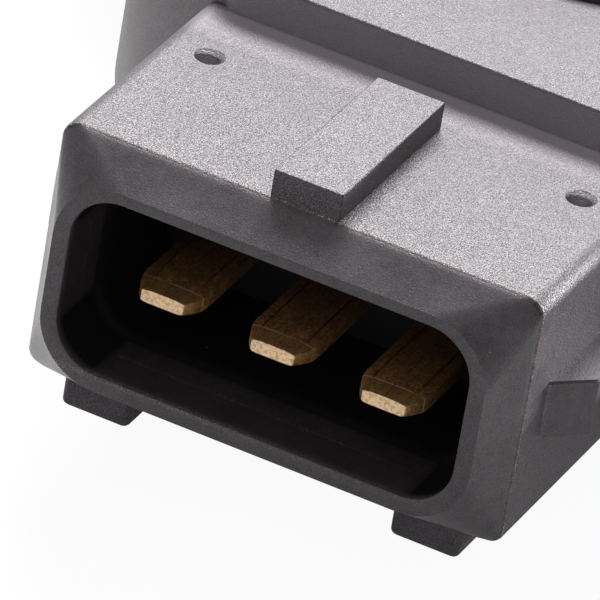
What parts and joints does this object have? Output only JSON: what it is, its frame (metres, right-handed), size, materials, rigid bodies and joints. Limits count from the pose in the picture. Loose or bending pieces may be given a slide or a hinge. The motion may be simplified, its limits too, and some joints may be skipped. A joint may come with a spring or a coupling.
{
  "type": "throttle position sensor",
  "caption": "Round rotary position sensor with two mounting ears, a shaft socket underneath and a rectangular plug shroud round flat blade terminals.",
  "frame": {"origin": "centre of the cover's top face, on the rotor's axis; the mounting plane is 13.47 mm below it", "axes": "+Z out of the cover along the rotor's axis, away from the throttle body; -Y out of the plug's mouth; +X to the right for someone who faces the mouth"},
  "size_m": [0.0564, 0.0491, 0.0177],
  "materials": {
    "housing_plastic": "fine matt moulded grain",
    "cover_plastic": "fine matt moulded grain",
    "seal_rubber": "matt",
    "board_laminate": "laminate",
    "carbon_track": "printed carbon",
    "collector_metal": "printed metal",
    "terminal_brass": "rolled and coined",
    "solder": "bright solder",
    "rotor_resin": "moulded",
    "spring_bronze": "stamped spring strip",
    "spring_steel": "spring strip",
    "washer_nylon": "natural nylon",
    "ring_rubber": "oiled rubber",
    "bush_steel": "turned steel"
  },
  "bodies": {
    "sensor_body": {"housing": "housing_plastic", "cover": "cover_plastic", "cover_seal": "seal_rubber", "track_board": "board_laminate", "resistive_track": "carbon_track", "collector_track": "collector_metal", "terminal_supply": "terminal_brass", "terminal_signal": "terminal_brass", "terminal_ground": "terminal_brass", "solder_supply": "solder", "solder_signal": "solder", "solder_ground": "solder", "thrust_washer": "washer_nylon", "rotor_seal": "seal_rubber", "o_ring": "ring_rubber", "ear_bush_left": "bush_steel", "ear_bush_right": "bush_steel"},
    "rotor": {"rotor": "rotor_resin", "wiper_bridge": "spring_bronze", "drive_clip": "spring_steel", "wave_washer": "spring_steel"}
  },
  "joints": [
    {"name": "rotor_turn", "type": "hinge", "parent": "sensor_body", "child": "rotor", "pos_m": [0, 0, -0.01347], "axis": [0, 0, 1], "range_deg": [0, 95]}
  ]
}
